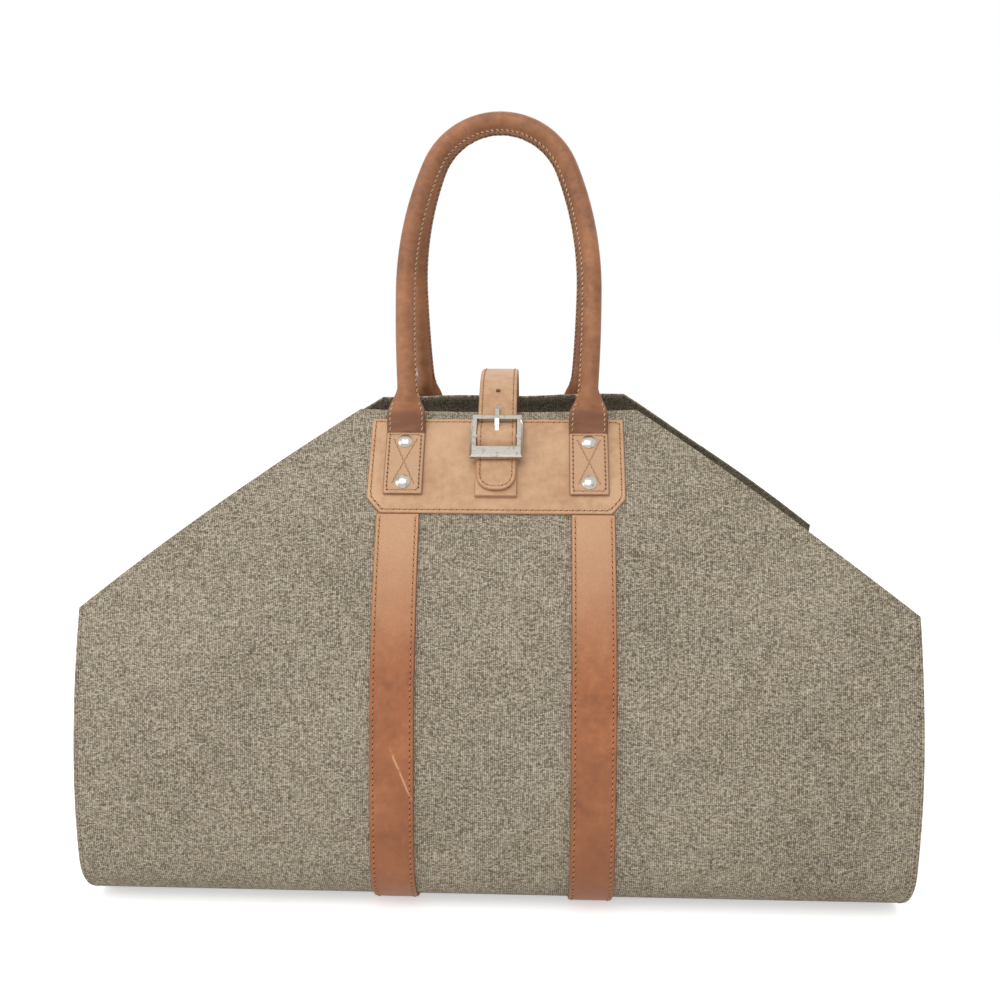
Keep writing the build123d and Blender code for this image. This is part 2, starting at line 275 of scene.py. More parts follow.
canvas = canvas_finish("canvas", rgb(226, 215, 194), rgb(160, 148, 127), rgb(66, 58, 44))
# The inside face of the canvas gets the same weave in darker colours.
darker_canvas_inside = canvas_finish("canvas_inside", rgb(176, 166, 142), rgb(120, 110, 90), rgb(62, 55, 42))
print("cloth finishes", canvas.name, darker_canvas_inside.name)

# %% [markdown]
# ## Leather
# Vegetable tanned leather is never one brown. Large soft clouds come from the hide, fine
# pores from the grain, and pale scuffs from handling. Its cut edges are burnished darker,
# so each leather mesh carries its distance to the rim.


# %% Leather finish
def leather_finish(name, pale, middle, dark, gloss=0.5, scuffs=0.5, scratch=False, tones=()):
    hide = Finish(name, specular_ior_level=0.45, coat_weight=0.0)
    flat = hide.named("flat")
    rim = hide.named("rim", "Fac")
    cloud = hide.noise(flat, 24.0, 4.0, 0.6)
    mottle = hide.noise(flat, 160.0, 3.0, 0.65)
    stops = [(0.30, dark), (0.52, middle), (0.74, pale)]
    body = hide.node("ShaderNodeValToRGB", {"stops": stops}, {0: cloud * 0.62 + mottle * 0.38})
    # Each tone blends one colour in along a flat coordinate. On the long straps the tones are painted
    # light, lighter at the top and darker lower down. On the handles the tabs take a pale tan, and
    # the leather just above them is darker.
    for axis, low, high, colour, strength in tones:
        place = hide.node("ShaderNodeSeparateXYZ", None, {0: flat}, axis)
        body = hide.blend(hide.between(place, low, high) * strength, body, colour)
    pores = hide.node(
        "ShaderNodeTexVoronoi", {"feature": "DISTANCE_TO_EDGE"}, {"Vector": flat, "Scale": 900.0}
    )
    creases = hide.between(pores, 0.0, 0.16)
    body = hide.blend((1.0 - creases) * 0.22, body, dark)
    scuff = hide.between(hide.noise(hide.stretch(flat, 90.0, 34.0), 1.0, 5.0, 0.7), 0.58, 0.74)
    body = hide.blend(scuff * scuffs * 0.5, body, pale)
    edge = 1.0 - hide.between(rim, 0.1 * mm, 1.1 * mm)
    body = hide.blend(edge * 0.75, body, dark)
    height = creases * 0.5 + mottle * 0.6
    if scratch:
        across = hide.node("ShaderNodeSeparateXYZ", None, {0: flat}, 0)
        down = hide.node("ShaderNodeSeparateXYZ", None, {0: flat}, 1)
        wobble = hide.noise(flat, 130.0, 3.0)
        line = across - down * 0.42 + (wobble - 0.5) * 2.2 * mm + 0.1665
        width = hide.node("ShaderNodeMath", {"operation": "ABSOLUTE"}, {0: line})
        near = (1.0 - hide.between(width, 0.3 * mm, 1.0 * mm)) * hide.between(wobble, 0.36, 0.5)
        reach = hide.between(down, 0.234, 0.240) * (1.0 - hide.between(down, 0.268, 0.274))
        body = hide.blend(near * reach * 0.75, body, rgb(214, 160, 118))
    hide.paint("Base Color", body)
    hide.paint("Roughness", gloss + mottle * 0.16 - scuff * 0.05)
    hide.paint("Normal", hide.relief(height, 0.16 * mm))
    return hide.material


patch_leather = leather_finish(
    "patch_leather", rgb(214, 176, 142), rgb(200, 160, 124), rgb(172, 128, 92), 0.50
)
# The long straps carry painted light along their length: a painted highlight on their upper part,
# where the wall leans back towards the lamps, and painted shade on their lower part.
strap_leather = leather_finish(
    "strap_leather", rgb(190, 128, 86), rgb(164, 100, 60), rgb(128, 76, 44), 0.44, 0.5, True,
    [(1, 0.20, 0.08, rgb(204, 160, 122), 0.85), (1, 0.22, 0.36, rgb(136, 82, 50), 0.55)],
)
handle_leather = leather_finish(
    "handle_leather", rgb(182, 126, 86), rgb(156, 102, 66), rgb(112, 70, 44), 0.42, 0.7, False,
    [(2, 14 * mm, 8 * mm, rgb(112, 68, 42), 0.8), (2, 0.4 * mm, -0.4 * mm, rgb(202, 162, 126), 0.92)],
)
closing_leather = leather_finish(
    "closing_leather", rgb(214, 178, 144), rgb(200, 160, 124), rgb(168, 122, 86), 0.46
)
print("leathers", patch_leather.name, strap_leather.name, handle_leather.name)

# %% [markdown]
# ## Thread, metal and cord
# Thread is matt and soft. The rivets and the buckle are cast and nickel plated: a fully
# metallic shader whose roughness wanders a little, as polished castings do.


# %% Thread, painted shade of needle holes, nickel and cord finishes
def thread_finish(name, colour, shadow):
    thread = Finish(name, roughness=0.85, specular_ior_level=0.3)
    place = thread.node("ShaderNodeTexCoord", None, None, 3)
    fibre = thread.noise(place, 2600.0, 2.0)
    thread.paint("Base Color", thread.blend(thread.between(fibre, 0.35, 0.7), shadow, colour))
    thread.paint("Normal", thread.relief(fibre, 0.1 * mm))
    return thread.material


def nickel_finish(name):
    metal = Finish(name, metallic=1.0)
    place = metal.node("ShaderNodeTexCoord", None, None, 3)
    wear = metal.noise(place, 260.0, 4.0, 0.6)
    fine = metal.noise(metal.stretch(place, 1.0, 6.0, 6.0), 900.0, 3.0)
    pale, worn = rgb(196, 191, 182), rgb(158, 150, 138)
    metal.paint("Base Color", metal.blend(metal.between(wear, 0.5, 0.72), pale, worn))
    metal.paint("Roughness", wear * 0.22 + fine * 0.06 + 0.06)
    metal.paint("Normal", metal.relief(fine, 0.03 * mm))
    return metal.material


tan_thread = thread_finish("tan_thread", rgb(206, 160, 116), rgb(150, 104, 66))
white_thread = thread_finish("white_thread", rgb(226, 206, 178), rgb(170, 142, 110))
canvas_thread = thread_finish("canvas_thread", rgb(180, 170, 150), rgb(120, 110, 92))
# The needle holes are small dark disks: painted shade inside the holes.
needle_hole_shade = thread_finish("needle_hole_shade", rgb(70, 36, 20), rgb(44, 22, 12))
canvas_hole_shade = thread_finish("canvas_hole_shade", rgb(58, 48, 36), rgb(36, 30, 22))
cord_finish = thread_finish("cotton_cord", rgb(214, 202, 178), rgb(160, 146, 120))
nickel = nickel_finish("nickel")
print("finishes in all", len(bpy.data.materials))

# %% [markdown]
# ## Where the cloth is
# The wall of the bag is an arc in side view, and the bottom turns up in a quarter circle.
# Everything sewn to the cloth is placed by three numbers: across the bag, down the cloth
# from the mouth, and out from its face. One function turns them into a point, so a patch,
# a strap and their stitches always lie on the cloth together.

# %% Measures of the cloth
panel_low, panel_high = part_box("back_panel")
half_width = panel_high.x
half_depth = panel_high.y
mouth_height = panel_high.z
strap_thickness = 2.4 * mm
fold_radius = 40 * mm
mouth_half_gap = 50 * mm
mouth_half_width = 98 * mm
slope_length = 148 * mm
canvas_thickness = 2.0 * mm
hinge_height = strap_thickness + fold_radius
lean = 2 * math.atan2(half_depth - mouth_half_gap, mouth_height - hinge_height)
side_radius = (mouth_height - hinge_height) / math.sin(lean)
side_centre = half_depth - side_radius
side_length = side_radius * lean
fold_centre = half_depth - fold_radius
fold_end = side_length + fold_radius * math.pi / 2
strip_half = fold_end + fold_centre
print("half of the strip is", round(strip_half, 3), "m long")


# %% Placing things on the cloth
def step(value, low, high):
    """A smooth step from 0 at low to 1 at high."""
    share = min(max((value - low) / (high - low), 0.0), 1.0)
    return share * share * (3 - 2 * share)


def profile(down, out):
    """(y, z) at the back, that far down the cloth and out from its face."""
    if down <= side_length:
        angle = lean - down / side_radius
        reach = side_radius + out
        return side_centre + reach * math.cos(angle), hinge_height + reach * math.sin(angle)
    if down <= fold_end:
        angle = (down - side_length) / fold_radius
        reach = fold_radius + out
        return fold_centre + reach * math.cos(angle), hinge_height - reach * math.sin(angle)
    return fold_centre - (down - fold_end), strap_thickness - out


def billow(x, down, side):
    """How far the soft cloth stands out from its plain arc, away from the stiff leather."""
    flap = step(abs(x), 0.10, 0.20)
    low = step(down, 0.10, 0.18)
    free = 1 - (1 - flap) * (1 - low)
    free = free * step(side_length - down, 0.0, 0.09)
    wave = math.sin(23 * x + 7 * down + side) + 0.7 * math.sin(-11 * x + 19 * down + 2 * side)
    wave = wave + 0.5 * math.sin(41 * x - 13 * down + 0.6)
    return 0.9 * mm * wave * free


def on_cloth(side):
    """A function that places points on the front (-1) or the back (1) of the bag."""
    def place(x, down, out):
        y, z = profile(down, out + billow(x, down, side))
        return Vector((x, side * y, z))

    return place


on_front, on_back = on_cloth(-1), on_cloth(1)
sides = {"front": -1, "back": 1}
print("the mouth edge is at", [round(v, 3) for v in on_front(0, 0, 0)])

# %% [markdown]
# ## One builder for every flat piece
# Canvas, patches, straps and tabs are all sheets with a thickness. The builder below lays
# a grid over the flat outline, with extra lines near the rim. There the face rolls over to
# the cut edge, and sinks a little under the stitches. Top, underside and rim become one
# closed mesh. Cells that are left out become holes.


# %% The sheet builder
def spaced(start, stop, spacing, rims):
    """Positions from start to stop, evenly spaced, with fine ones near both ends."""
    count = max(2, round((stop - start) / spacing))
    even = [start + (stop - start) * i / count for i in range(1, count)]
    fine = [start + r for r in rims] + [stop - r for r in rims]
    reach = max(rims) + spacing * 0.4
    middle = [v for v in even if start + reach < v < stop - reach]
    return sorted(set(fine + middle))


def rim_distance(x, down, outline):
    """How far each flat point is from an outline, a closed ring of flat points."""
    points = np.stack([x, down], -1)[:, None, :]
    start = np.array(outline)[None, :, :]
    along = np.roll(start, -1, axis=1) - start
    length = np.maximum((along**2).sum(-1), 1e-12)
    share = np.clip(((points - start) * along).sum(-1) / length, 0, 1)
    nearest = start + along * share[..., None]
    return np.sqrt(((points - nearest) ** 2).sum(-1)).min(1)


def carry(mesh, name, values):
    """Stores a value at each point of a mesh."""
    values = np.asarray(values, np.float32)
    kind = "FLOAT" if values.ndim == 1 else "FLOAT_VECTOR"
    key = "value" if values.ndim == 1 else "vector"
    mesh.attributes.new(name, kind, "POINT").data.foreach_set(key, values.ravel())


def make_object(name, points, faces, finishes, picks=None, sharp=40):
    """A mesh object, smooth apart from its sharp edges."""
    mesh = bpy.data.meshes.new(name)
    mesh.from_pydata([tuple(p) for p in points], [], faces)
    for finish in finishes:
        mesh.materials.append(finish)
    mesh.polygons.foreach_set("material_index", picks or [0] * len(faces))
    mesh.shade_smooth()
    mesh.set_sharp_from_angle(angle=math.radians(sharp))
    mesh.update()
    thing = bpy.data.objects.new(name, mesh)
    bpy.context.scene.collection.objects.link(thing)
    return thing


def face_outwards(mesh):
    """Drops points that no face uses, and turns every face outwards."""
    tidy = bmesh.new()
    tidy.from_mesh(mesh)
    bmesh.ops.delete(tidy, geom=[v for v in tidy.verts if not v.link_faces], context="VERTS")
    bmesh.ops.recalc_face_normals(tidy, faces=tidy.faces)
    tidy.to_mesh(mesh)
    tidy.free()


rim_margin = 11 * mm  # the band at a rim whose grid columns keep their distance
groove_depth, groove_width = 0.22 * mm, 0.75 * mm


def fitted(column, widest, half):
    """Where a grid column goes in a narrower row: near the rim it keeps its distance."""
    margin = min(rim_margin, 0.35 * widest)
    kept = min(margin, 0.5 * half)
    inside = widest - abs(column)
    if inside < margin:
        return math.copysign(half - inside * kept / margin, column)
    return column * (half - kept) / (widest - margin)


def flat_piece(name, place, downs, columns, half, thickness, base, finishes,
               middle=0.0, roll=0.4, groove=None, holes=(), warp=None, hem=None):
    """A sheet with a thickness. half(down) is its half width, base its underside's height.

    A hole is (across, down, reach, radius): round, or a slot that reaches that far each way."""
    widest = max(half(d) for d in downs)
    flat = [[fitted(column, widest, half(down)), down] for down in downs for column in columns]
    flat = np.array(flat)
    rows, across = len(downs), len(columns)
    kept = np.ones((rows - 1, across - 1), bool)
    number = np.arange(rows * across).reshape(rows, across)
    for x0, d0, reach, radius in holes:
        inside_rows = [
            i for i in range(rows - 1)
            if abs((downs[i] + downs[i + 1]) / 2 - d0) < reach + radius
        ]
        inside_columns = [
            j for j in range(across - 1) if abs((columns[j] + columns[j + 1]) / 2 - x0) < radius
        ]
        kept[np.ix_(inside_rows, inside_columns)] = False
        for i in range(inside_rows[0], inside_rows[-1] + 2):
            for j in range(inside_columns[0], inside_columns[-1] + 2):
                point = flat[number[i, j]]
                near = np.array([x0, min(max(point[1], d0 - reach), d0 + reach)])
                away = point - near
                flat[number[i, j]] = near + away / max(np.linalg.norm(away), 1e-9) * radius
    outline = [[half(d), d] for d in downs] + [[-half(d), d] for d in reversed(downs)]
    rim = rim_distance(flat[:, 0], flat[:, 1], outline)
    turn = roll * thickness
    share = np.clip(rim / turn, 0, 1)
    body = np.sqrt(1 - (1 - share) ** 2) * 0.5 * thickness * 0.999
    sunk = np.zeros(len(rim))
    if groove:
        sunk = groove_depth * np.exp(-(((rim - groove) / groove_width) ** 2))
    points = []
    for layer in (1, -1):
        for (x, down), lift, dip, inward in zip(flat, body, sunk, rim):
            out = base + thickness / 2 + layer * lift
            if layer > 0:
                out = out - dip
            elif hem:
                out = out - hem[1] * (1 - step(inward, hem[0] - 0.6 * mm, hem[0] + 0.4 * mm))
            if warp:
                down = down + warp(x, down)
            points.append(place(middle + x, down, out))
    count = rows * across
    faces, picks = [], []
    for i in range(rows - 1):
        for j in range(across - 1):
            if not kept[i, j]:
                continue
            ring = [number[i, j], number[i, j + 1], number[i + 1, j + 1], number[i + 1, j]]
            ring = [int(v) for v in ring]
            faces.append(ring)
            picks.append(0)
            faces.append([v + count for v in reversed(ring)])
            picks.append(len(finishes) - 1)
            beside = [(i - 1, j), (i, j + 1), (i + 1, j), (i, j - 1)]
            for k, (a, b) in enumerate(beside):
                if 0 <= a < rows - 1 and 0 <= b < across - 1 and kept[a, b]:
                    continue
                first, second = ring[k], ring[(k + 1) % 4]
                faces.append([second, first, first + count, second + count])
                picks.append(0)
    thing = make_object(name, points, faces, finishes, picks)
    flat3 = np.column_stack([flat[:, 0] + middle, flat[:, 1], np.zeros(count)])
    carry(thing.data, "flat", np.vstack([flat3, flat3]))
    carry(thing.data, "rim", np.concatenate([rim, rim]))
    face_outwards(thing.data)
    return thing


print("sheet builder ready")

# %% [markdown]
# ## Sewing
# A seam is a row of short thread arcs, each of which dives into a needle hole at both ends.
# The holes read darker than the thread for the shade inside them, so each is modelled as a small
# dark disk: painted shade. A seam is given as points and the directions out of the surface there,
# and all its stitches become one mesh.


# %% Stitches
def flat_run(place, corners, out, closed=False):
    """A seam drawn on the flat: points on the piece, and the way out of it at each."""
    corners = list(corners) + ([corners[0]] if closed else [])
    points, normals = [], []
    for (x0, d0), (x1, d1) in zip(corners, corners[1:]):
        count = max(1, round(math.hypot(x1 - x0, d1 - d0) / (2.5 * mm)))
        for i in range(count + (1 if (x1, d1) == tuple(corners[-1]) else 0)):
            x, down = x0 + (x1 - x0) * i / count, d0 + (d1 - d0) * i / count
            point = place(x, down, out)
            points.append(point)
            normals.append((place(x, down, out + 1 * mm) - point).normalized())
    return points, normals


def sew(name, runs, finishes, pitch=3.9 * mm, thick=0.42 * mm, hole=0.62 * mm):
    """All the stitches of some seams: thread arcs, and a dark disk at each end, the painted shade of
    its needle hole.
    """
    points, faces, picks = [], [], []

    def add_hole_shade(centre, along, across, normal):
        # A flat dark disk on the surface: the painted shade of a needle hole.
        start = len(points)
        for i in range(8):
            turn = 2 * math.pi * i / 8
            points.append(centre + (along * math.cos(turn) + across * math.sin(turn)) * hole)
        points.append(centre + normal * 0.12 * mm)
        points.append(centre - normal * 0.3 * mm)
        for i in range(8):
            j = (i + 1) % 8
            faces.append([start + i, start + j, start + 8])
            faces.append([start + j, start + i, start + 9])
            picks.extend([1, 1])

    def add_thread(first, last, across, normal):
        start = len(points)
        for ring in range(5):
            share = ring / 4
            hump = math.sin(math.pi * share)
            centre = first.lerp(last, share) + normal * thick * (1.0 * hump - 0.35)
            size = thick * (0.6 + 0.4 * hump)
            for i in range(6):
                turn = 2 * math.pi * i / 6
                points.append(centre + (across * math.cos(turn) + normal * math.sin(turn)) * size)
        for ring in range(4):
            for i in range(6):
                a, b = start + ring * 6 + i, start + ring * 6 + (i + 1) % 6
                faces.append([a, b, b + 6, a + 6])
                picks.append(0)
        faces.append([start + i for i in reversed(range(6))])
        faces.append([start + 24 + i for i in range(6)])
        picks.extend([0, 0])

    for line, normals in runs:
        marks = [0.0]
        for a, b in zip(line, line[1:]):
            marks.append(marks[-1] + (b - a).length)
        count = max(1, round(marks[-1] / pitch))
        stops, ways = [], []
        for i in range(count + 1):
            travel = marks[-1] * i / count
            k = min(max(int(np.searchsorted(marks, travel, side="right")) - 1, 0), len(line) - 2)
            share = (travel - marks[k]) / max(marks[k + 1] - marks[k], 1e-9)
            stops.append(line[k].lerp(line[k + 1], share))
            ways.append(normals[k].lerp(normals[k + 1], share).normalized())
        for i in range(count):
            along = (stops[i + 1] - stops[i]).normalized()
            across = along.cross(ways[i]).normalized()
            lean_over = across * 0.12 * pitch
            first = stops[i].lerp(stops[i + 1], 0.12) - lean_over
            last = stops[i].lerp(stops[i + 1], 0.88) + lean_over
            add_thread(first, last, across, ways[i])
            add_hole_shade(stops[i], along, across, ways[i])
    return make_object(name, points, faces, finishes, picks, sharp=80)


print("sewing ready")

# %% [markdown]
# ## The canvas
# One strip of cloth runs from the front mouth edge, under the bag, to the back mouth edge.
# It is made as two halves that meet in the middle of the bottom. The mouth corners are cut off
# in a slope.


# %% Canvas halves
def cloth_half_width(down):
    """Half the width of the canvas, which narrows along its two slopes to the mouth."""
    share = min(down / slope_length, 1.0)
    return mouth_half_width + (half_width - mouth_half_width) * share


def mouth_edge(side):
    """How far the mouth edge dips below its straight line."""
    def dip(x, down):
        near = max(0.0, 1 - down / (60 * mm))
        across = min(abs(x) / mouth_half_width, 1.0)
        if side < 0:
            return 2.6 * mm * (1 - across**2) * near
        wave = 1.1 * mm * math.sin(55 * x + 0.6) * (1 - across**4)
        return (wave - 2.4 * mm * x / mouth_half_width) * near * (1 - step(abs(x), 0.10, 0.16))

    return dip


hem_width, hem_layer = 9 * mm, 0.8 * mm
cloth_inset = 2.8 * mm
cloth_rims = [0, 0.2 * mm, 0.6 * mm, 1.3 * mm, 2.0 * mm, 2.8 * mm, 3.6 * mm, 6.0 * mm]
cloth_rims += [hem_width - 0.7 * mm, hem_width + 0.5 * mm]
canvas_rows = spaced(0, strip_half, 6.5 * mm, cloth_rims)
canvas_rows = sorted(set(canvas_rows) | {slope_length})
canvas_columns = spaced(-half_width, half_width, 8 * mm, cloth_rims)
cloth_area = 2 * half_width * strip_half - slope_length * (half_width - mouth_half_width)
for name, side in sides.items():
    cloth = flat_piece(
        f"{name}_canvas", on_cloth(side), canvas_rows, canvas_columns, cloth_half_width,
        canvas_thickness, -canvas_thickness, [canvas, darker_canvas_inside], groove=cloth_inset,
        warp=mouth_edge(side), hem=(hem_width, hem_layer),
    )
    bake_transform(cloth)
    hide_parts(f"{name}_panel", "bottom_panel")
    print(cloth.name, len(cloth.data.polygons), "faces")

# %% [markdown]
# ## Leather on the cloth
# Each side has a wide patch with its lower corners cut off, and two straps that run from
# the patch down the wall and under the bag. Their outlines are given by a half width at
# each distance down the cloth.

# %% Patches and long straps
patch_top = 10 * mm
patch_height = 72 * mm
patch_half = 88 * mm
patch_thickness = 2.2 * mm
patch_corner_width = 9.5 * mm
patch_corner_height = 11 * mm
patch_bottom = patch_top + patch_height
leather_inset = 2.6 * mm  # how far from the rim the leather is sewn
strap_half = 14.75 * mm
strap_centre = 66 * mm
leather_rims = [0, 0.15 * mm, 0.45 * mm, 1.0 * mm, 1.8 * mm, 2.6 * mm, 3.4 * mm]


def patch_half_width(down):
    past = max(0.0, down - (patch_bottom - patch_corner_height)) / patch_corner_height
    return patch_half - patch_corner_width * past


patch_rows = spaced(patch_top, patch_bottom, 5 * mm, leather_rims)
patch_rows = sorted(set(patch_rows) | {patch_bottom - patch_corner_height})
patch_columns = spaced(-patch_half, patch_half, 6 * mm, leather_rims)
strap_rows = spaced(patch_bottom + 0.2 * mm, strip_half, 6 * mm, leather_rims)
strap_columns = spaced(-strap_half, strap_half, 5 * mm, leather_rims)
for name, side in sides.items():
    patch = flat_piece(
        f"{name}_patch_leather", on_cloth(side), patch_rows, patch_columns, patch_half_width,
        patch_thickness, 0, [patch_leather], groove=leather_inset,
    )
    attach(patch, f"{name}_wall")
    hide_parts(f"{name}_patch")
    for hand, x in (("left", -strap_centre), ("right", strap_centre)):
        strap = flat_piece(
            f"{name}_{hand}_strap_leather", on_cloth(side), strap_rows, strap_columns,
            lambda down: strap_half, strap_thickness, 0, [strap_leather], x,
            groove=leather_inset,
        )
        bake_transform(strap)
        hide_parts(f"{name}_{hand}_strap", f"bottom_{hand}_strap")
        print(strap.name, len(strap.data.polygons), "faces")

# %% [markdown]
# ## The handles
# Each handle is one length of leather. It is rolled round a cord and sewn along the inside
# of the arch. At both ends it opens out, its two layers are sewn together at the edges, and
# it runs on down as the tab that is riveted to the patch. So the mesh is one skin through a
# row of cross sections, from the end of one tab over the arch to the end of the other.

# %% Measures of the handles
tab_half = 13.5 * mm
tab_thickness = 2.6 * mm
tab_centre = 63.5 * mm
tab_top = patch_top + 13.5 * mm
tab_bottom = tab_top + 45.5 * mm
tab_face = patch_thickness + tab_thickness
handle_height = 220.5 * mm
tube_radius = 6.3 * mm
flare_start = 4 * mm
flare_length = 28 * mm
flare_thickness = 4.8 * mm
grip_radius = 52.5 * mm
grip_turn = math.radians(68)
shoulder_radius = 240 * mm
leg_radius = 1.1
fold_down = tab_top - flare_thickness / 2 - 1.6 * mm
fold_out = patch_thickness + 0.3 * mm + flare_thickness / 2
fold_y, fold_z = profile(fold_down, fold_out)
handle_lean = math.asin((fold_y - tube_radius - 0.4 * mm) / handle_height)
print("the handles lean in by", round(math.degrees(handle_lean), 1), "degrees")


# %% The line of a handle
def arc_points(centre, radius, start, turn, spacing):
    """Points on an arc, with the direction in which each lies from the centre."""
    count = max(2, round(abs(turn) * radius / spacing))
    angles = [start + turn * i / count for i in range(count + 1)]
    return [
        (centre[0] + radius * math.cos(a), centre[1] + radius * math.sin(a), a) for a in angles
    ]


def arch(spacing):
    """The right half of the arch, in the handle's plane: (x, up, direction of its outside)."""
    grip_centre = handle_height - grip_radius
    shoulder_reach = shoulder_radius - grip_radius
    shoulder_x = -shoulder_reach * math.sin(grip_turn)
    shoulder_y = grip_centre - shoulder_reach * math.cos(grip_turn)
    widest = shoulder_x + shoulder_radius
    swing = math.asin((shoulder_y - flare_length) / leg_radius)
    leg = arc_points((widest - leg_radius, shoulder_y), leg_radius, -swing, swing, spacing)
    shoulder = arc_points(
        (shoulder_x, shoulder_y), shoulder_radius, 0, math.pi / 2 - grip_turn, spacing
    )
    grip = arc_points((0, grip_centre), grip_radius, math.pi / 2 - grip_turn, grip_turn, spacing)
    foot = leg[0][0]
    ups = spaced(flare_start, flare_length, 1.6 * mm, [0])[:-1]
    low = [(tab_centre + (foot - tab_centre) * step(u, 0, flare_length), u, 0.0) for u in ups]
    return low + leg + shoulder[1:] + grip[1:]


def handle_stations(side):
    """The cross sections of one handle: centre, outside, face, and where they are."""
    def in_plane(x, up):
        y = fold_y - up * math.sin(handle_lean)
        z = fold_z + up * math.cos(handle_lean)
        return Vector((x, side * y, z))

    face = Vector((0, side * math.cos(handle_lean), math.sin(handle_lean)))
    up_way = Vector((0, -side * math.sin(handle_lean), math.cos(handle_lean)))
    rows = []
    for down in reversed(spaced(tab_top, tab_bottom, 3 * mm, [0, 0.2 * mm, 0.6 * mm, 1.3 * mm])):
        y, z = profile(down, patch_thickness + tab_thickness / 2)
        angle = lean - down / side_radius
        out = Vector((0, side * math.cos(angle), math.sin(angle)))
        point = Vector((tab_centre, side * y, z))
        rows.append((point, Vector((1, 0, 0)), out, down, tab_top - down))
    low, high = rows[-1], in_plane(tab_centre, flare_start)
    slant = lean - tab_top / side_radius
    low_way = Vector((0, -side * math.sin(slant), math.cos(slant)))
    for i in range(1, 6):
        t = i / 6
        bend = (high - low[0]).length * 0.4
        a, d = low[0], high
        b, c = a + low_way * bend, d - up_way * bend
        point = a * (1 - t) ** 3 + b * 3 * t * (1 - t) ** 2 + c * 3 * t * t * (1 - t) + d * t**3
        out = (low[2] * (1 - t) + face * t).normalized()
        rows.append((point, Vector((1, 0, 0)), out, tab_top - t * 8 * mm, flare_start * t))
    travel = tab_top - 8 * mm
    last = high
    for x, up, angle in arch(3.2 * mm):
        point = in_plane(x, up)
        travel -= (point - last).length
        last = point
        outside = Vector((math.cos(angle), 0, 0)) + up_way * math.sin(angle)
        rows.append((point, outside, face, travel, max(up, flare_start)))
    mirrored = []
    for point, outside, out, travel, up in reversed(rows[:-1]):
        flip = Vector((-1, 1, 1))
        mirrored.append((point * flip, outside * flip, out, 2 * rows[-1][3] - travel, up))
    return rows + mirrored


def section(angle, up, crown):
    """A point of a cross section: across from its middle, and out from it."""
    up = max(up, 0.0)
    wide = step(up, 8.5 * mm, flare_length + 2 * mm)
    half = tab_half + (tube_radius - tab_half) * wide
    core_half = tab_half * 0.86 + (tube_radius - tab_half * 0.86) * step(up, 4 * mm, 24 * mm)
    core_half = min(core_half, half)
    core = tube_radius * step(up, 1.5 * mm, 27 * mm)
    layer = tab_thickness + 1.0 * mm * step(up, 0, 8 * mm)
    layer = layer * (1 - step(up, flare_length - 8 * mm, flare_length + 4 * mm))
    across = half * math.cos(angle)
    lip = 1.5 * mm * step(up, 18 * mm, 30 * mm) * math.exp(-(((angle - math.pi) / 0.17) ** 2))
    swell = max(0.0, 1 - (across / core_half) ** 2)
    soft = 0.5 + 0.9 * (1 - step(up, 14 * mm, flare_length + 2 * mm))
    edge = math.sqrt(max(0.0, 1 - abs(math.cos(angle)) ** 10))
    out = layer / 2 * edge + core * swell**soft
    if up > flare_length + 2 * mm:
        wrinkle = math.sin(crown / (1.1 * mm)) * 0.5 + math.sin(crown / (1.9 * mm) + 2) * 0.5
        inner = max(0.0, -math.cos(angle)) * (1 - step(abs(crown), 30 * mm, 70 * mm))
        stretch = 1 + 0.030 * wrinkle * inner
        across, out = across * stretch, out * stretch
    return across - lip, out * (1 if math.sin(angle) >= 0 else -1)


ring_angles = [2 * math.pi * i / 32 for i in range(32)]
ring_angles = sorted(ring_angles + [math.pi + d for d in (-0.33, -0.12, -0.05, 0.05, 0.12, 0.33)])
print("a cross section has", len(ring_angles), "points")


# %% Handle leather
def handle_point(station, angle, crown, lift=0.0):
    """A point on the skin of a handle."""
    point, outside, face, travel, up = station
    across, out = section(angle, up, crown)
    away = lift if out >= 0 else -lift
    return point + outside * across + face * (out + away)


def handle_root(side):
    """Where the skin's bend begins on the wall, and where it ends on the handle."""
    wall_end = on_cloth(side)(0, tab_top - 1.0 * mm, patch_thickness)
    return wall_end, Vector((0, side * fold_y, fold_z + flare_start))


